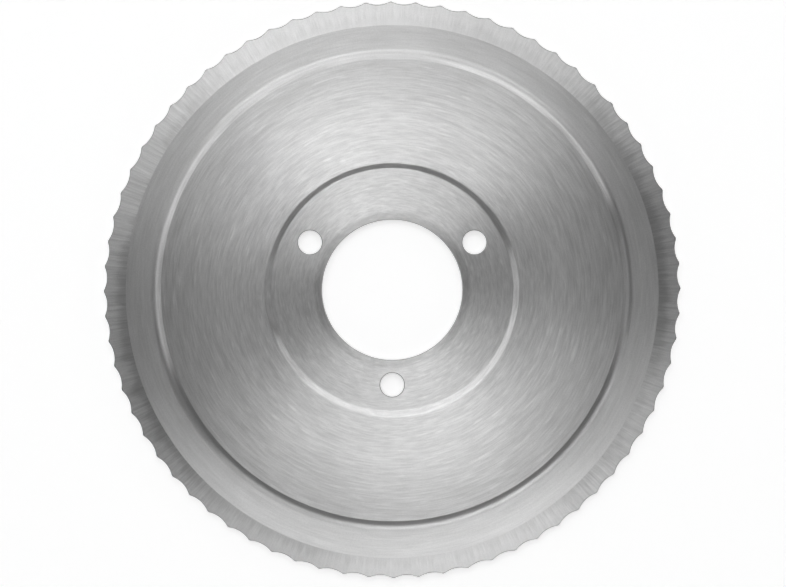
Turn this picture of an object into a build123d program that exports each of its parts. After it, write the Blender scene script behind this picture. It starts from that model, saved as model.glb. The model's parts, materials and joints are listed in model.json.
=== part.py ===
from build123d import *
from math import cos, radians, sin, tan
import os

# A food slicer blade, in millimetres: one disc of stainless steel, pressed, punched and ground.
# It lies on its back, bevel up. The origin is on the axis of the bore, at the level of the hub's back face.

# Disc
blade_diameter = 170.0
sheet = 1.5
bore_diameter = 41.3

# Fastening holes in the hub
hole_diameter = 7.0
hole_circle_diameter = 56.0
hole_count = 3
first_hole_angle = 30.0

# Edges of the bore and the holes
lip_width = 2.3  # ring round the bore where the punch drew the front face down
lip_drop = 0.06
front_chamfer = 0.25
back_chamfer = 0.15

# Pressed form of the front face: a raised ring between the hub and the rim
hub_border = 5.4  # from the holes to the middle of the inner step
rim_width = 16.0  # from the middle of the outer step to the cutting edge
step_height = 1.0
inner_step_angle = 28.0
outer_step_angle = 21.0
inside_bend = 1.2
rim_bend = 4.0  # the step runs out into the rim in a wider bend
rim_tilt = 4.0  # the rim rises outward by this angle

# Ground bevel
bevel_width = 6.5
edge_thickness = 0.2
grind_shift = 0.8  # the bevel was ground this far off centre, towards -Y

# Scallops ground across the edge
scallop_count = 72
scallop_depth = 0.85
scallop_slope = 60.0  # a scallop's bottom line falls outward by this angle
first_scallop_angle = 2.8
crest_width = 0.55

# Sizes that follow from the ones above
blade_radius = blade_diameter / 2
bore_radius = bore_diameter / 2
lip_radius = bore_radius + lip_width
hub_top = sheet
ring_top = hub_top + step_height
outside_bend = inside_bend + sheet
inner_step = hole_circle_diameter / 2 + hole_diameter / 2 + hub_border
outer_step = blade_radius - rim_width
inner_half_run = step_height / tan(radians(inner_step_angle)) / 2
outer_half_run = step_height / tan(radians(outer_step_angle)) / 2
rim_start = outer_step + outer_half_run
rim_end = blade_radius - sheet * sin(radians(rim_tilt))
cut_margin = 2 * sheet


def front_height(radius):
    """Height of the rim's front face at a radius, before the bevel is ground."""
    return hub_top + (radius - rim_start) * tan(radians(rim_tilt))


def back_height(radius):
    """Height of the rim's back face at a radius."""
    return front_height(radius) - sheet / cos(radians(rim_tilt))


# The bevel falls from the rim's front face to the top of the cutting edge
bevel_start = blade_radius - bevel_width
bevel_fall = front_height(bevel_start) - back_height(blade_radius) - edge_thickness
bevel_slope = bevel_fall / bevel_width
grinding_start = bevel_start - cut_margin
grinding_reach = blade_radius + cut_margin


def bevel_height(radius):
    """Height of the ground cone at a distance from its own axis."""
    return front_height(bevel_start) - (radius - bevel_start) * bevel_slope


# A scallop is part of a cylinder that leans outward. The cylinder's lowest line meets the back face at the
# valley, and its side passes through the crests. A crest's place, seen from the valley, gives its radius.
valley_radius = blade_radius - scallop_depth
crest_angle = radians(180 / scallop_count) - crest_width / 2 / blade_radius
crest_out = blade_radius * cos(crest_angle) - valley_radius
crest_up = back_height(blade_radius) - back_height(valley_radius)
crest_side = blade_radius * sin(crest_angle)
crest_lift = crest_out * sin(radians(scallop_slope)) + crest_up * cos(radians(scallop_slope))
scallop_radius = (crest_lift**2 + crest_side**2) / (2 * crest_lift)

with BuildPart() as blade:
    # The pressed disc, revolved from its section
    with BuildSketch(Plane.XZ):
        # The front face is drawn as a bent line, and the back face lies one sheet below it
        with BuildLine():
            FilletPolyline(
                (bore_radius, hub_top),
                (inner_step - inner_half_run, hub_top),
                (inner_step + inner_half_run, ring_top),
                (outer_step - outer_half_run, ring_top),
                (rim_start, hub_top),
                (rim_end, front_height(rim_end)),
                radius=[inside_bend, outside_bend, outside_bend, rim_bend],
            )
            offset(amount=sheet, side=Side.RIGHT, closed=True)
        make_face()
        # The lip at the bore falls away from the front face in a shallow arc
        with BuildLine():
            lip = TangentArc((lip_radius, hub_top), (bore_radius, hub_top - lip_drop), tangent=(-1, 0))
            Polyline(lip @ 1, (bore_radius, ring_top), (lip_radius, ring_top), lip @ 0)
        make_face(mode=Mode.SUBTRACT)
        back_corner = vertices().group_by(Axis.X)[0].sort_by(Axis.Y)[0]
        chamfer(back_corner, back_chamfer)
        front_corner = vertices().group_by(Axis.X)[0].sort_by(Axis.Y)[-1]
        chamfer(front_corner, front_chamfer)
    revolve(axis=Axis.Z)

    # The fastening holes
    with Locations((0, 0, hub_top)):
        with PolarLocations(hole_circle_diameter / 2, hole_count, start_angle=first_hole_angle):
            Hole(hole_diameter / 2, depth=sheet)
    hole_edges = blade.edges(Select.LAST).filter_by(GeomType.CIRCLE).group_by(Axis.Z)
    chamfer(hole_edges[-1], front_chamfer)
    chamfer(hole_edges[0], back_chamfer)

    # The bevel, ground round an axis beside the bore's
    with BuildSketch(Plane.XZ.offset(grind_shift)):
        with BuildLine():
            Polyline(
                (grinding_start, bevel_height(grinding_start)),
                (grinding_reach, bevel_height(grinding_reach)),
                (grinding_reach, ring_top + cut_margin),
                (grinding_start, ring_top + cut_margin),
                close=True,
            )
        make_face()
    revolve(axis=Axis((0, -grind_shift, 0), (0, 0, 1)), mode=Mode.SUBTRACT)

    # The scallops
    with PolarLocations(valley_radius, scallop_count, start_angle=first_scallop_angle):
        with Locations(Location((0, 0, back_height(valley_radius)), (0, scallop_slope - 90, 0))):
            with Locations((scallop_radius, 0, 0)):
                Cylinder(scallop_radius, 2 * cut_margin, mode=Mode.SUBTRACT)

blade.part.label = "blade"
os.makedirs("parts", exist_ok=True)
export_step(blade.part, "parts/blade.step")
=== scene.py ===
import json
from math import atan2, cos, hypot, pi, radians, sin, tan

import bpy
from mathutils import Matrix, Vector


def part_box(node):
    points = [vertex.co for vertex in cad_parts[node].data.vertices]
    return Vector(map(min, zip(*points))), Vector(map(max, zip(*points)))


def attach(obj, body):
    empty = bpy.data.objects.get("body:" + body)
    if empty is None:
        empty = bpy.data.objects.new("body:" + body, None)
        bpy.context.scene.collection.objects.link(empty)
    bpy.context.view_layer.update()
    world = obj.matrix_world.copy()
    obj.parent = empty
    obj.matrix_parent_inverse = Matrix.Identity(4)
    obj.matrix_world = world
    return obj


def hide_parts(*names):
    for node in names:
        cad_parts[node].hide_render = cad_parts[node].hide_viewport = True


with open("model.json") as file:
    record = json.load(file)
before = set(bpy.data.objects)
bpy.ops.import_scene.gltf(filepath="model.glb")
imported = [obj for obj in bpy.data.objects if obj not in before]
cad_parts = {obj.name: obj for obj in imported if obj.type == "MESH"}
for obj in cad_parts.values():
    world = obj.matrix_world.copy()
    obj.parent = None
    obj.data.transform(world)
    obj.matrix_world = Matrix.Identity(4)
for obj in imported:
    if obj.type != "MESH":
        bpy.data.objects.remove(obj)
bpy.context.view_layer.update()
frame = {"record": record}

# A food slicer blade, lying bevel up: the looks of one pressed, punched, brushed and ground steel disc.
# All lengths are in metres, and +Z is the blade's axis.
MM = 0.001

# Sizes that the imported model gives
lowest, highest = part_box("blade")
mounts = {mount["name"]: mount for mount in frame["record"]["mounts"]}
BORE_RADIUS = mounts["bore"]["dims"]["r_mm"] * MM
HOLE_RADIUS = mounts["bolts"]["dims"]["hole_r_mm"] * MM
HOLE_CIRCLE_RADIUS = mounts["bolts"]["dims"]["pcd_mm"] / 2 * MM
HOLE_COUNT = mounts["bolts"]["dims"]["count"]
RING_TOP = highest.z

# Disc
BLADE_RADIUS = 85 * MM
SHEET = 1.5 * MM
FIRST_HOLE_ANGLE = radians(30)

# Edges of the bore and the holes
LIP_WIDTH = 2.3 * MM
LIP_DROP = 0.06 * MM
FRONT_CHAMFER = 0.25 * MM
BACK_CHAMFER = 0.15 * MM

# Pressed form. The light shows a slightly steeper inner step, nearer to the holes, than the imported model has.
HUB_BORDER = 5.1 * MM  # from the holes to the middle of the inner step
RIM_WIDTH = 16.0 * MM  # from the middle of the outer step to the cutting edge
INNER_STEP_ANGLE = radians(32)
OUTER_STEP_ANGLE = radians(21)
INSIDE_BEND = 1.2 * MM
RIM_BEND = 4.0 * MM  # the back of the outer step runs out into the rim in a wider bend
RIM_TILT = radians(4)

# Small differences of the front face alone, as the light shows them
INNER_CREASE = 1.3 * MM
OUTER_CREASE = 0.6 * MM
CREASE_SHIFT = 0.4 * MM
RUN_OUT_ANGLE = radians(28)  # the outer step leaves its crease at this angle
RUN_OUT_BEND = 4.6 * MM  # and flattens towards the rim in this bend
RIM_HOLLOW = radians(2.2)  # the rim is this much flatter at its start and steeper at its end
RIM_HOLLOW_BEND = 90 * MM

# Ground bevel
BEVEL_WIDTH = 6.5 * MM
EDGE_THICKNESS = 0.2 * MM
GRIND_SHIFT = 0.8 * MM  # the bevel was ground this far off centre, towards -Y

# Scallops ground across the edge
SCALLOP_COUNT = 72
SCALLOP_DEPTH = 0.85 * MM
SCALLOP_SLOPE = radians(60)
FIRST_SCALLOP_ANGLE = radians(2.8)
CREST_WIDTH = 0.55 * MM

# How finely round stretches are divided
BEND_STEPS = 6
LIP_STEPS = 4
SECTOR_STEPS = 10
SCALLOP_SIDES = 144
HOLE_SIDES = 96
FLOOR_SIDES = 96
WALL_STEPS = 8
SHARP_ANGLE = radians(8)
WELD = 0.001 * MM
GROUND_TOLERANCE = 10 * WELD  # a point this near to the ground cone is on it

# Studio: each lamp is a name, an azimuth, an angle from overhead, a width and a height in degrees, a brightness
LAMP_DISTANCE = 5.0
LAMPS = [
    ("overhead", 0, 3, 6, 9, 1.52),
    ("overhead_left", 324, 11.5, 7, 6, 1.15),
    ("overhead_right", 36, 11.5, 7, 6, 1.82),
    ("overhead_near", 180, 13, 18, 13, 0.44),
    ("far_high_left", 300, 18, 9, 7.5, 1.45),
    ("far_high", 345, 18, 19, 7.5, 3.39),
    ("far_high_right", 30, 18, 9, 7.5, 2.09),
    ("far_upper", 345, 26, 26, 8.5, 0.51),
    ("near_high_right", 120, 26, 13, 8.5, 2.29),
    ("near_high", 165, 26, 26, 8.5, 3.84),
    ("near_high_left", 210, 26, 13, 8.5, 1.64),
    ("near_middle_left", 225, 35, 34, 10, 0.47),
    ("left", 279, 46, 40, 12, 1.54),
    ("far_left", 318, 46, 20, 12, 1.94),
    ("far", 350, 46, 26, 12, 1.93),
    ("far_right", 38, 46, 43, 12, 2.02),
    ("right", 90, 46, 22, 12, 0.72),
    ("far_low_left", 302, 59, 36, 14, 0.95),
    ("far_low", 342, 59, 32, 14, 1.42),
    ("far_low_right", 22, 59, 36, 14, 1.43),
]
ROOM_LIGHT = 0.03
HORIZON_LIGHT = 1.0  # the room is bright low down, where the backdrop ends, and dark overhead
HORIZON_TOP = radians(20)
HORIZON_BOTTOM = radians(9)
FLOOR_RADIUS = 5.5
FLOOR_LEVEL = -0.02 * MM
FLOOR_GREY = 0.8
FLOOR_ROUGHNESS = 0.9
FLOOR_LIFT = 0.51  # light of the floor's own, for the camera and in reflections only
WALL_BEND = 0.4
WALL_HEIGHT = 0.5
CAMERA_PLACE = (0.24 * MM, -1.09 * MM)
CAMERA_HEIGHT = 1.3
SENSOR_WIDTH = 36
VIEW_WIDTH = 231.63 * MM  # how much of the hub's plane the photograph spans

# Sizes that follow
LIP_RADIUS = BORE_RADIUS + LIP_WIDTH
HUB_TOP = SHEET
STEP_HEIGHT = RING_TOP - HUB_TOP
OUTSIDE_BEND = INSIDE_BEND + SHEET
INNER_STEP = HOLE_CIRCLE_RADIUS + HOLE_RADIUS + HUB_BORDER
OUTER_STEP = BLADE_RADIUS - RIM_WIDTH
INNER_HALF_RUN = STEP_HEIGHT / tan(INNER_STEP_ANGLE) / 2
OUTER_HALF_RUN = STEP_HEIGHT / tan(OUTER_STEP_ANGLE) / 2
RIM_START = OUTER_STEP + OUTER_HALF_RUN
BEVEL_START = BLADE_RADIUS - BEVEL_WIDTH
SCALLOP_RING = 2 * SCALLOP_DEPTH  # a ring of points this far in keeps the scallops' faces off the rest of the bevel
WHEEL_LENGTH = 4 * SHEET
SECTOR = 2 * pi / SCALLOP_COUNT
SECTOR_TOLERANCE = SECTOR / SECTOR_STEPS / 100
HOLE_ANGLES = [FIRST_HOLE_ANGLE + 2 * pi * number / HOLE_COUNT for number in range(HOLE_COUNT)]


def front_height(radius):
    """Height of the rim's front face at a radius, before the bevel is ground."""
    return HUB_TOP + (radius - RIM_START) * tan(RIM_TILT)


def back_height(radius):
    """Height of the rim's back face at a radius."""
    return front_height(radius) - SHEET / cos(RIM_TILT)


BEVEL_FALL = front_height(BEVEL_START) - back_height(BLADE_RADIUS) - EDGE_THICKNESS
BEVEL_SLOPE = BEVEL_FALL / BEVEL_WIDTH

# The strips of the blade's own map: each kind of surface runs from one reach to another, between two places across
# the map. A reach is a distance from the axis, or on a wall a height.
MAP = "OFBake"
STRIPS = {
    "front": (BORE_RADIUS, BLADE_RADIUS, 0.005, 0.465),
    "bevel": (BORE_RADIUS, BLADE_RADIUS, 0.005, 0.465),
    "back": (BLADE_RADIUS, BORE_RADIUS, 0.475, 0.935),
    "bore": (0, HUB_TOP, 0.945, 0.957),
    "edge": (0.5 * MM, 1.5 * MM, 0.963, 0.977),
    "hole": (0, HUB_TOP, 0.983, 0.995),
}
HOLE_GAP = 0.05  # the part of a hole's stretch of its strip that stays free at each end
STEEPEST = 0.8  # a face whose normal is nearer to level than this is a wall

# Finish
STEEL_GREY = 0.7
WALL_GREY = 0.5
# Painted shade: the scallops' faces are painted this dark, for the dark line along the cutting edge
EDGE_SHADE_GREY = 0.35
BRUSHED_RADIUS = 51.1 * MM  # where the finer brushing round the hub ends
RIM_BRUSHING = 0.5  # how strong the rim's strokes are beside the ring's
BRUSHED_GREYS = [  # how the grey changes outward: from one factor to another, between two radii
    (0.83, 1, LIP_RADIUS - 0.3 * MM, LIP_RADIUS + 0.4 * MM),
    (1, 1.07, INNER_STEP, INNER_STEP + 1 * MM),
    (1, 0.97, BRUSHED_RADIUS - 0.1 * MM, BRUSHED_RADIUS + 0.1 * MM),
    (1, 0.79, BRUSHED_RADIUS, OUTER_STEP - 2 * MM),
    (1, 1.1, OUTER_STEP - 0.5 * MM, OUTER_STEP + 0.5 * MM),
]
FIRST_GRIND_GREY = 0.83
SECOND_GRIND_GREY = 0.98
FIRST_GRIND_ROUGHNESS = 0.279
SECOND_GRIND_ROUGHNESS = 0.335
SECOND_GRIND = 80.9 * MM  # where the second grinding of the bevel starts
DEEP_GRIND = radians(157)  # the direction in which it reaches in as far as the rim
DEEP_GRIND_REACH = 2.6 * MM
# Painted shade: the bevel darkens by this factor towards the crests' tips, a dark outline along the edge
CREST_SHADE_GREY = 0.68
# The flecks are grain, but their strength by side is painted light and shade: strongest towards +X and -X, where the
# light shows the grooves most
FAINTEST_FLECKS = 0.35  # how strong the bevel's flecks are towards +Y and -Y beside those towards +X and -X

# Strokes in the finishes: so many a radian round the axis, so many a metre along the radius, and the range that they
# give. Tones are factors, reliefs are in millimetres. The roughness stays above 0.274 on the faces and the bevel,
# because the denoiser tears patches out of a surface that crosses that value.
BRUSHED_GRAIN = (200, 3300, 0.95, 1.05)
BRUSHED_FINE = (12, 2600, 0.955, 1.045)
BRUSHED_SOFT = (6, 1300, 0.92, 1.08)
BRUSHED_BRIGHT = (10, 1300, 1, 1.1)
BRUSHED_BROAD = (4, 450, 0.96, 1.04)
BRUSHED_ROUGHNESS = (6, 1100, 0.276, 0.288)
BRUSHED_RELIEF = (9, 1700, 0, 0.002)
BEVEL_GRAIN = (280, 3300, 0.95, 1.05)
BEVEL_FLECKS = (170, 80, 0.92, 1.08)
BEVEL_PATCHES = (95, 70, 0.91, 1.09)
BEVEL_ROUGHNESS = (160, 100, 0.99, 1.01)
BEVEL_RELIEF = (170, 200, 0, 0.002)
GRIND_TONGUES = (15, 40, -1 * MM, 1 * MM)
GRIND_FINGERS = (50, 40, -1 * MM, 1 * MM)
GRIND_FRAYS = (150, 40, -0.8 * MM, 0.8 * MM)
WALL_TONE = (90, 900, 0.8, 1)
WALL_ROUGHNESS = (60, 900, 0.38, 0.5)
WALL_RELIEF = (140, 900, 0, 0.001)
EDGE_TONE = (300, 900, 0.8, 1.1)
EDGE_ROUGHNESS = (200, 900, 0.38, 0.48)
EDGE_RELIEF = (400, 900, 0, 0.0004)


# Blade

def rounded(corners, bends):
    """The points of a line through corners, each a radius and a height, with every inner corner rounded."""
    points = [corners[0]]
    for before, corner, after, bend in zip(corners, corners[1:], corners[2:], bends):
        to_before = (before - corner).normalized()
        to_after = (after - corner).normalized()
        turn = -to_before.angle_signed(-to_after)
        start = corner + to_before * bend * tan(abs(turn) / 2)
        centre = corner + (to_before + to_after).normalized() * bend / cos(turn / 2)
        for step in range(BEND_STEPS + 1):
            points.append(centre + Matrix.Rotation(turn * step / BEND_STEPS, 2) @ (start - centre))
    return points + [corners[-1]]


def lip_point(share):
    """A point of the lip's shallow arc, from the hub at 0 to the bore's chamfer at 1."""
    reach = (LIP_WIDTH - FRONT_CHAMFER) * share
    return Vector((LIP_RADIUS - reach, HUB_TOP - LIP_DROP * (reach / LIP_WIDTH) ** 2))


def run_out_corner(crease):
    """Where the line from the outer crease, at the angle of its run-out, meets the line of the rim's start."""
    rise = tan(RIM_TILT - RIM_HOLLOW)
    run = (STEP_HEIGHT + (RIM_START - crease.x) * rise) / (tan(RUN_OUT_ANGLE) + rise)
    return crease + Vector((run, -run * tan(RUN_OUT_ANGLE)))


def section():
    """The sheet's section as a closed line of points (radius, height), from the bore outward and back."""
    front = [
        Vector((LIP_RADIUS, HUB_TOP)),
        Vector((INNER_STEP - INNER_HALF_RUN, HUB_TOP)),
        Vector((INNER_STEP + INNER_HALF_RUN, RING_TOP)),
        Vector((OUTER_STEP - OUTER_HALF_RUN, RING_TOP)),
        Vector((RIM_START, HUB_TOP)),
        Vector((BEVEL_START, front_height(BEVEL_START))),
    ]
    # The back face is this front face moved by the sheet's thickness, so its corners slide along their bisectors
    slopes = [0, INNER_STEP_ANGLE, 0, -OUTER_STEP_ANGLE, RIM_TILT]
    back = [Vector((BORE_RADIUS + BACK_CHAMFER, 0))]
    for corner, before, after in zip(front[1:], slopes, slopes[1:]):
        middle = (before + after) / 2
        back.append(corner + Vector((sin(middle), -cos(middle))) * SHEET / cos((after - before) / 2))
    back.append(Vector((BLADE_RADIUS, back_height(BLADE_RADIUS))))
    # Then the front face gets its small differences
    rim_middle = (RIM_START + BEVEL_START) / 2
    hollow = (BEVEL_START - RIM_START) / 2 * tan(RIM_HOLLOW)
    front.insert(-1, Vector((rim_middle, front_height(rim_middle) - hollow)))
    front[3].x += CREASE_SHIFT
    front[4] = run_out_corner(front[3])
    front_bends = [INSIDE_BEND, INNER_CREASE, OUTER_CREASE, RUN_OUT_BEND, RIM_HOLLOW_BEND]
    back_bends = [OUTSIDE_BEND, INSIDE_BEND, INSIDE_BEND, RIM_BEND + SHEET]
    lip = [lip_point(step / LIP_STEPS) for step in range(LIP_STEPS, 0, -1)]
    edge = Vector((BLADE_RADIUS, back_height(BLADE_RADIUS) + EDGE_THICKNESS))
    return [
        Vector((BORE_RADIUS, HUB_TOP - LIP_DROP - FRONT_CHAMFER)),
        *lip,
        *rounded(front, front_bends),
        Vector((BLADE_RADIUS - SCALLOP_RING, edge.y + SCALLOP_RING * BEVEL_SLOPE)),
        edge,
        *reversed(rounded(back, back_bends)),
        Vector((BORE_RADIUS, BACK_CHAMFER)),
    ]


def choose(piece):
    """Makes a piece the only selected, active object."""
    bpy.ops.object.select_all(action="DESELECT")
    piece.select_set(True)
    bpy.context.view_layer.objects.active = piece


def start_edit(piece):
    """Opens a piece in edit mode, all of it selected."""
    choose(piece)
    bpy.ops.object.mode_set(mode="EDIT")
    bpy.ops.mesh.select_all(action="SELECT")


def end_edit():
    bpy.ops.object.mode_set(mode="OBJECT")


def select_only(piece, kind, chosen):
    """Opens a piece in edit mode with only the parts of a kind, FACE or VERT, selected that chosen(part) picks."""
    start_edit(piece)
    bpy.ops.mesh.select_mode(type=kind)
    bpy.ops.mesh.select_all(action="DESELECT")
    end_edit()
    for part in piece.data.polygons if kind == "FACE" else piece.data.vertices:
        part.select = chosen(part)
    bpy.ops.object.mode_set(mode="EDIT")


def apply_modifier(piece, kind, **settings):
    """Changes a piece for good by one modifier."""
    choose(piece)
    bpy.ops.object.modifier_add(type=kind)
    modifier = piece.modifiers[-1]
    for name, value in settings.items():
        setattr(modifier, name, value)
    bpy.ops.object.modifier_apply(modifier=modifier.name)


def cut(piece, tool):
    """Cuts a tool's shape out of a piece, and removes the tool."""
    apply_modifier(piece, "BOOLEAN", operation="DIFFERENCE", solver="EXACT", object=tool)
    bpy.data.objects.remove(tool)


def draw_section():
    """Draws the section in the XZ plane by extruding one point along it, and fills it."""
    bpy.ops.mesh.primitive_plane_add(size=SHEET)
    sector = bpy.context.object
    sector.name = "blade_steel"
    start_edit(sector)
    bpy.ops.mesh.select_mode(type="VERT")
    bpy.ops.mesh.merge(type="CENTER")
    at, *others = section()
    bpy.ops.transform.translate(value=(at.x, 0, at.y))
    for point in others:
        move = point - at
        bpy.ops.mesh.extrude_region_move(TRANSFORM_OT_translate={"value": (move.x, 0, move.y)})
        at = point
    bpy.ops.mesh.select_all(action="SELECT")
    bpy.ops.mesh.edge_face_add()
    return sector


def scallop_tool(angle):
    """The grinding wheel's path for one scallop: a cylinder that leans outward, with its valley at an angle."""
    valley_radius = BLADE_RADIUS - SCALLOP_DEPTH
    crest_angle = SECTOR / 2 - CREST_WIDTH / 2 / BLADE_RADIUS
    crest_out = BLADE_RADIUS * cos(crest_angle) - valley_radius
    crest_up = back_height(BLADE_RADIUS) - back_height(valley_radius)
    crest_side = BLADE_RADIUS * sin(crest_angle)
    crest_lift = crest_out * sin(SCALLOP_SLOPE) + crest_up * cos(SCALLOP_SLOPE)
    radius = (crest_lift**2 + crest_side**2) / (2 * crest_lift)
    valley = Vector((valley_radius, 0, back_height(valley_radius)))
    centre = valley + Vector((sin(SCALLOP_SLOPE), 0, cos(SCALLOP_SLOPE))) * radius
    bpy.ops.mesh.primitive_cylinder_add(
        vertices=SCALLOP_SIDES,
        radius=radius,
        depth=WHEEL_LENGTH,
        location=Matrix.Rotation(angle, 3, "Z") @ centre,
        rotation=(0, SCALLOP_SLOPE - pi / 2, angle),
    )
    return bpy.context.object


def hole_centre(angle):
    """Where a fastening hole is, in the blade's plane."""
    return Vector((HOLE_CIRCLE_RADIUS * cos(angle), HOLE_CIRCLE_RADIUS * sin(angle)))


def hole_tool(angle):
    """The punch for one fastening hole, flared at both ends for the chamfers and standing out beyond them."""
    height = HUB_TOP - FRONT_CHAMFER - BACK_CHAMFER
    place = (*hole_centre(angle), BACK_CHAMFER + height / 2)
    bpy.ops.mesh.primitive_cylinder_add(vertices=HOLE_SIDES, radius=HOLE_RADIUS, depth=height, location=place)
    tool = bpy.context.object
    for side, flare in ((1, 2 * FRONT_CHAMFER), (-1, 2 * BACK_CHAMFER)):
        select_only(tool, "FACE", lambda face: face.normal.z * side > STEEPEST)
        bpy.ops.mesh.extrude_region_move(TRANSFORM_OT_translate={"value": (0, 0, side * flare)})
        grown = (HOLE_RADIUS + flare) / HOLE_RADIUS
        bpy.ops.transform.resize(value=(grown, grown, 1))
        end_edit()
    return tool


def is_sector_end(face):
    """Whether a face closes the sector at one of its two ends."""
    angle = atan2(face.center.y, face.center.x)
    return min(abs(angle), abs(angle - SECTOR)) < SECTOR_TOLERANCE


def is_bevel_start(point):
    """Whether a point is on the circle where the rim's front face ends."""
    away = abs(hypot(point.co.x, point.co.y) - BEVEL_START)
    return away < WELD and point.co.z > front_height(BEVEL_START) - WELD


def is_ground(point):
    """Whether a point is on the bevel's cone, at some way from its start."""
    radius = hypot(point.co.x, point.co.y)
    cone = front_height(BEVEL_START) - (radius - BEVEL_START) * BEVEL_SLOPE
    return radius > BEVEL_START + SHEET and abs(cone - point.co.z) < GROUND_TOLERANCE


def tilt(angle):
    """Tilts the selected points about the X axis, so that their -Y side rises."""
    bpy.ops.transform.rotate(value=angle, orient_axis="X", center_override=(0, 0, HUB_TOP))


def off_centre(blade):
    """Moves the bevel as it was ground, round an axis beside the bore's: its start slides, and its edge tilts."""
    slide = GRIND_SHIFT * BEVEL_SLOPE / (BEVEL_SLOPE + tan(RIM_TILT))
    select_only(blade, "VERT", is_bevel_start)
    bpy.ops.transform.translate(value=(0, -slide, 0))
    tilt(slide * tan(RIM_TILT) / BEVEL_START)
    end_edit()
    select_only(blade, "VERT", is_ground)
    tilt(GRIND_SHIFT * BEVEL_SLOPE / BLADE_RADIUS)
    end_edit()


def make_blade():
    """The whole blade: one scalloped sector, repeated round the axis, with its holes."""
    blade = draw_section()
    bpy.ops.mesh.spin(steps=SECTOR_STEPS, angle=-SECTOR, center=(0, 0, 0), axis=(0, 0, 1))
    bpy.ops.mesh.select_all(action="SELECT")
    bpy.ops.mesh.normals_make_consistent(inside=False)
    end_edit()
    cut(blade, scallop_tool(SECTOR / 2))
    select_only(blade, "FACE", is_sector_end)
    bpy.ops.mesh.delete(type="ONLY_FACE")
    bpy.ops.mesh.select_all(action="SELECT")
    rest = SCALLOP_COUNT - 1
    bpy.ops.mesh.spin(steps=rest, dupli=True, angle=rest * SECTOR, center=(0, 0, 0), axis=(0, 0, 1))
    bpy.ops.mesh.select_all(action="SELECT")
    bpy.ops.mesh.remove_doubles(threshold=WELD)
    bpy.ops.mesh.normals_make_consistent(inside=False)
    end_edit()
    off_centre(blade)
    blade.rotation_euler.z = FIRST_SCALLOP_ANGLE - SECTOR / 2
    bpy.ops.object.transform_apply(rotation=True)
    for angle in HOLE_ANGLES:
        cut(blade, hole_tool(angle))
    return blade


def kind_of(face):
    """Which surface of the blade a face belongs to, by its place and its normal."""
    radius = hypot(face.center.x, face.center.y)
    if abs(face.normal.z) <= STEEPEST:
        if radius > BEVEL_START:
            return "edge"
        return "bore" if radius < LIP_RADIUS else "hole"
    if face.normal.z < 0:
        return "back"
    leans_out = face.normal.x * face.center.x + face.normal.y * face.center.y > 0
    return "bevel" if radius > BEVEL_START and leans_out else "front"


def turns(place):
    """The way round an axis to a place, from 0 to 1, starting where two scallop sectors meet."""
    return (atan2(place.y, place.x) - FIRST_SCALLOP_ANGLE + SECTOR / 2) / (2 * pi) % 1


def unroll(blade):
    """Gives the blade its own map: across it runs the section, and up it runs the way round the axis."""
    mesh = blade.data
    for layer in list(mesh.uv_layers):
        mesh.uv_layers.remove(layer)
    places = mesh.uv_layers.new(name=MAP).uv
    hole_centres = [hole_centre(angle) for angle in HOLE_ANGLES]
    for face in mesh.polygons:
        kind = kind_of(face)
        centre = Vector((0, 0))
        low, high = 0, 1
        if kind == "hole":
            number = min(range(HOLE_COUNT), key=lambda hole: (hole_centres[hole] - face.center.xy).length)
            centre = hole_centres[number]
            low, high = (number + HOLE_GAP) / HOLE_COUNT, (number + 1 - HOLE_GAP) / HOLE_COUNT
        middle = turns(face.center.xy - centre)
        inner, outer, near, far = STRIPS[kind]
        for loop in face.loop_indices:
            point = mesh.vertices[mesh.loops[loop].vertex_index].co
            reach = point.xy.length if kind in ("front", "bevel", "back") else point.z
            turn = turns(point.xy - centre)
            turn += round(middle - turn)
            across = near + (far - near) * (reach - inner) / (outer - inner)
            places[loop].vector = (across, low + (high - low) * turn)


def paint(blade, kinds, finish):
    """Gives a finish to the blade's surfaces of some kinds."""
    choose(blade)
    bpy.ops.object.material_slot_add()
    blade.material_slots[-1].material = finish
    select_only(blade, "FACE", lambda face: kind_of(face) in kinds)
    blade.active_material_index = len(blade.material_slots) - 1
    bpy.ops.object.material_slot_assign()
    end_edit()


def soften(blade):
    """Shades the bends smooth and keeps the flats flat and the ground edges sharp."""
    choose(blade)
    bpy.ops.object.shade_smooth_by_angle(angle=SHARP_ANGLE)
    apply_modifier(blade, "WEIGHTED_NORMAL", mode="FACE_AREA", keep_sharp=True)


# Finishes

def add(finish, kind, inputs, output=0, **settings):
    """Adds a node to a finish and gives one of its outputs. Each input is a fixed value, or an output to join."""
    made = finish.node_tree.nodes.new(kind)
    for name, value in settings.items():
        setattr(made, name, value)
    for name, value in inputs.items():
        if isinstance(value, bpy.types.NodeSocket):
            finish.node_tree.links.new(value, made.inputs[name])
        else:
            made.inputs[name].default_value = value
    return made.outputs[output]


def combine(finish, operation, first, *others):
    """Joins several values, one after the other, by an operation."""
    result = first
    for value in others:
        result = add(finish, "ShaderNodeMath", {0: result, 1: value}, operation=operation)
    return result


def spread(finish, value, low, high, source=(0, 1), **settings):
    """Maps a value from a range onto another."""
    inputs = {"Value": value, "From Min": source[0], "From Max": source[1], "To Min": low, "To Max": high}
    return add(finish, "ShaderNodeMapRange", inputs, clamp=True, **settings)


def polar(finish):
    """The direction from the axis, as a unit vector in the blade's plane, and the distance from it in metres."""
    place = add(finish, "ShaderNodeTexCoord", {}, output="Object")
    flat = add(finish, "ShaderNodeVectorMath", {0: place, 1: (1, 1, 0)}, operation="MULTIPLY")
    direction = add(finish, "ShaderNodeVectorMath", {0: flat}, operation="NORMALIZE")
    radius = add(finish, "ShaderNodeVectorMath", {0: flat}, output="Value", operation="LENGTH")
    return direction, radius


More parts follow.
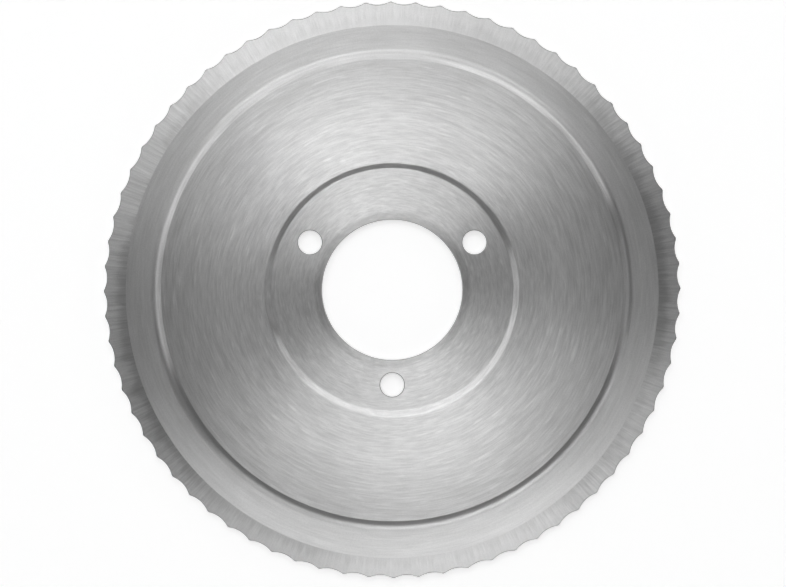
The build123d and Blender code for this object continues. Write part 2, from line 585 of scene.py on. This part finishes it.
def strokes(finish, direction, radius, around, across, low, high, detail=2, source=(0.3, 0.7)):
    """Noise drawn out round the axis or along the radius: so many strokes a radian, and so many a metre."""
    turned = add(finish, "ShaderNodeVectorMath", {0: direction, "Scale": around}, operation="SCALE")
    lifted = add(finish, "ShaderNodeCombineXYZ", {"Z": combine(finish, "MULTIPLY", radius, across)})
    place = add(finish, "ShaderNodeVectorMath", {0: turned, 1: lifted}, operation="ADD")
    noise = add(finish, "ShaderNodeTexNoise", {"Vector": place, "Scale": 1, "Detail": detail})
    return spread(finish, noise, low, high, source=source)


def steel(name, surface, directional=0.85):
    """A steel finish. surface(finish, direction, radius) gives its grey, its roughness and its relief."""
    finish = bpy.data.materials.new(name)
    finish.use_nodes = True
    shader = finish.node_tree.nodes["Principled BSDF"]
    shader.inputs["Metallic"].default_value = 1
    shader.inputs["Anisotropic"].default_value = directional
    grey, roughness, relief = surface(finish, *polar(finish))
    colour = add(finish, "ShaderNodeCombineColor", {"Red": grey, "Green": grey, "Blue": grey})
    normal = add(finish, "ShaderNodeBump", {"Strength": 1, "Distance": MM, "Height": relief})
    tangent = add(finish, "ShaderNodeTangent", {}, direction_type="UV_MAP", uv_map=MAP)
    for socket, value in {"Base Color": colour, "Roughness": roughness, "Normal": normal, "Tangent": tangent}.items():
        finish.node_tree.links.new(value, shader.inputs[socket])
    return finish


def brushed(finish, direction, radius):
    """Strokes round the axis, fainter on the rim, over a grey that changes from the lip to the rim."""
    place = (finish, direction, radius)
    bright = strokes(*place, *BRUSHED_BRIGHT, detail=0, source=(0.68, 0.8))
    marks = combine(finish, "MULTIPLY", strokes(*place, *BRUSHED_FINE), strokes(*place, *BRUSHED_SOFT), bright)
    share = spread(finish, radius, 1, RIM_BRUSHING, source=(OUTER_STEP - 0.5 * MM, OUTER_STEP + 0.5 * MM))
    factors = [strokes(*place, *BRUSHED_GRAIN), spread(finish, share, 1, marks), strokes(*place, *BRUSHED_BROAD)]
    for before, after, start, end in BRUSHED_GREYS:
        factors.append(spread(finish, radius, before, after, source=(start, end)))
    grey = combine(finish, "MULTIPLY", *factors, STEEL_GREY)
    return grey, strokes(*place, *BRUSHED_ROUGHNESS), strokes(*place, *BRUSHED_RELIEF)


def second_grind(finish, direction, radius):
    """Where the bevel was ground a second time: 0 inside a ragged line, and 1 outside it."""
    ragged = [strokes(finish, direction, radius, *marks) for marks in (GRIND_TONGUES, GRIND_FINGERS, GRIND_FRAYS)]
    towards = {0: direction, 1: (cos(DEEP_GRIND), sin(DEEP_GRIND), 0)}
    facing = add(finish, "ShaderNodeVectorMath", towards, output="Value", operation="DOT_PRODUCT")
    deep = spread(finish, facing, 0, DEEP_GRIND_REACH, source=(0.972, 0.994))
    reach = combine(finish, "ADD", radius, *ragged, deep)
    return spread(finish, reach, 0, 1, source=(SECOND_GRIND - 0.9 * MM, SECOND_GRIND + 1.1 * MM))


def ground_bevel(finish, direction, radius):
    """Radial flecks, painted stronger on two sides where light shows them; paler, rougher where ground twice; painted
    shade at crests.
    """
    place = (finish, direction, radius)
    sideways = add(finish, "ShaderNodeSeparateXYZ", {0: direction}, output="X")
    sideways = add(finish, "ShaderNodeMath", {0: sideways}, operation="ABSOLUTE")
    # Painted light and shade: the flecks' strength follows the side, strongest towards +X and -X
    share = spread(finish, sideways, FAINTEST_FLECKS, 1, source=(0.4, 0.75))
    marks = combine(finish, "MULTIPLY", strokes(*place, *BEVEL_FLECKS), strokes(*place, *BEVEL_PATCHES))
    twice = second_grind(*place)
    zone = spread(finish, twice, FIRST_GRIND_GREY, SECOND_GRIND_GREY)
    # Painted shade: darker towards the crests' tips
    crest_shade = spread(finish, radius, 1, CREST_SHADE_GREY, source=(BLADE_RADIUS - 0.5 * MM, BLADE_RADIUS - 0.2 * MM))
    factors = [strokes(*place, *BEVEL_GRAIN), spread(finish, share, 1, marks), zone, crest_shade]
    rough = spread(finish, twice, FIRST_GRIND_ROUGHNESS, SECOND_GRIND_ROUGHNESS)
    return (
        combine(finish, "MULTIPLY", *factors, STEEL_GREY),
        combine(finish, "MULTIPLY", rough, strokes(*place, *BEVEL_ROUGHNESS)),
        strokes(*place, *BEVEL_RELIEF),
    )


def punched_wall(finish, direction, radius):
    """The torn grey of a punched wall."""
    place = (finish, direction, radius)
    grey = combine(finish, "MULTIPLY", strokes(*place, *WALL_TONE), WALL_GREY)
    return grey, strokes(*place, *WALL_ROUGHNESS), strokes(*place, *WALL_RELIEF)


def shaded_scallops(finish, direction, radius):
    """The scallops' ground faces, painted dark as shade along the cutting edge."""
    place = (finish, direction, radius)
    grey = combine(finish, "MULTIPLY", strokes(*place, *EDGE_TONE), EDGE_SHADE_GREY)
    return grey, strokes(*place, *EDGE_ROUGHNESS), strokes(*place, *EDGE_RELIEF)


# Studio

def softbox(name, azimuth, zenith, width, height, brightness):
    """A square-on area lamp. Azimuth runs clockwise from +Y, zenith is the angle down from overhead."""
    azimuth, zenith = radians(azimuth), radians(zenith)
    place = Vector((sin(zenith) * sin(azimuth), sin(zenith) * cos(azimuth), cos(zenith))) * LAMP_DISTANCE
    bpy.ops.object.light_add(type="AREA", location=place, rotation=(-zenith, 0, -azimuth))
    lamp = bpy.context.object
    lamp.name = name
    lamp.data.shape = "RECTANGLE"
    lamp.data.size = 2 * LAMP_DISTANCE * tan(radians(width) / 2)
    lamp.data.size_y = 2 * LAMP_DISTANCE * tan(radians(height) / 2)
    lamp.data.energy = brightness * pi * lamp.data.size * lamp.data.size_y
    lamp.visible_camera = False


def floor_finish():
    """A pale matt floor. The camera, and metal that mirrors it, see it lifted to white."""
    finish = bpy.data.materials.new("floor_white")
    finish.use_nodes = True
    shader = finish.node_tree.nodes["Principled BSDF"]
    shader.inputs["Base Color"].default_value = (FLOOR_GREY, FLOOR_GREY, FLOOR_GREY, 1)
    shader.inputs["Roughness"].default_value = FLOOR_ROUGHNESS
    shader.inputs["Specular IOR Level"].default_value = 0
    shader.inputs["Emission Color"].default_value = (1, 1, 1, 1)
    rays = finish.node_tree.nodes.new("ShaderNodeLightPath").outputs
    seen = combine(finish, "MAXIMUM", *(rays[f"Is {kind} Ray"] for kind in ("Camera", "Glossy", "Transmission")))
    lift = combine(finish, "MULTIPLY", seen, FLOOR_LIFT)
    finish.node_tree.links.new(lift, shader.inputs["Emission Strength"])
    return finish


def make_floor():
    """A wide pale floor that curves up into a low wall all round. It is drawn from the top of the wall down."""
    radius = FLOOR_RADIUS + WALL_BEND
    top = FLOOR_LEVEL + WALL_BEND + WALL_HEIGHT
    bpy.ops.mesh.primitive_circle_add(vertices=FLOOR_SIDES, radius=radius, location=(0, 0, top))
    floor = bpy.context.object
    floor.name = "floor"
    start_edit(floor)
    bpy.ops.mesh.extrude_region_move(TRANSFORM_OT_translate={"value": (0, 0, -WALL_HEIGHT)})
    for step in range(WALL_STEPS):
        before, after = (pi / 2 * number / WALL_STEPS for number in (step, step + 1))
        inner = FLOOR_RADIUS + WALL_BEND * cos(after)
        fall = WALL_BEND * (sin(after) - sin(before))
        bpy.ops.mesh.extrude_region_move(TRANSFORM_OT_translate={"value": (0, 0, -fall)})
        bpy.ops.transform.resize(value=(inner / radius, inner / radius, 1))
        radius = inner
    bpy.ops.mesh.edge_face_add()
    bpy.ops.mesh.select_all(action="SELECT")
    bpy.ops.mesh.normals_make_consistent(inside=True)
    end_edit()
    bpy.ops.object.transform_apply(location=True)
    bpy.ops.object.shade_smooth()
    floor.data.materials.append(floor_finish())


def light_room():
    """Soft light from the room itself, which fades from the horizon up."""
    world = bpy.data.worlds.new("studio")
    world.use_nodes = True
    towards = add(world, "ShaderNodeTexCoord", {}, output="Generated")
    height = add(world, "ShaderNodeSeparateXYZ", {0: towards}, output="Z")
    span = (sin(HORIZON_BOTTOM), sin(HORIZON_TOP))
    light = spread(world, height, HORIZON_LIGHT, ROOM_LIGHT, source=span, interpolation_type="SMOOTHSTEP")
    background = world.node_tree.nodes["Background"]
    background.inputs["Color"].default_value = (1, 1, 1, 1)
    world.node_tree.links.new(light, background.inputs["Strength"])
    bpy.context.scene.world = world


def make_camera():
    """Looks straight down, from where the photograph was taken."""
    bpy.ops.object.camera_add(location=(*CAMERA_PLACE, CAMERA_HEIGHT), rotation=(0, 0, 0))
    camera = bpy.context.object
    camera.data.sensor_width = SENSOR_WIDTH
    camera.data.lens = SENSOR_WIDTH * (CAMERA_HEIGHT - HUB_TOP) / VIEW_WIDTH
    bpy.context.scene.camera = camera


blade = make_blade()
unroll(blade)
paint(blade, ("front", "back"), steel("brushed_steel", brushed))
paint(blade, ("bevel",), steel("ground_bevel", ground_bevel))
# The scallops' faces get a grey painted dark as shade
paint(blade, ("edge",), steel("shaded_scallops", shaded_scallops))
paint(blade, ("bore", "hole"), steel("punched_walls", punched_wall, directional=0))
soften(blade)
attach(blade, "root")
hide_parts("blade")

make_floor()
for lamp in LAMPS:
    softbox(*lamp)
light_room()
make_camera()
bpy.context.scene.view_settings.view_transform = "Standard"
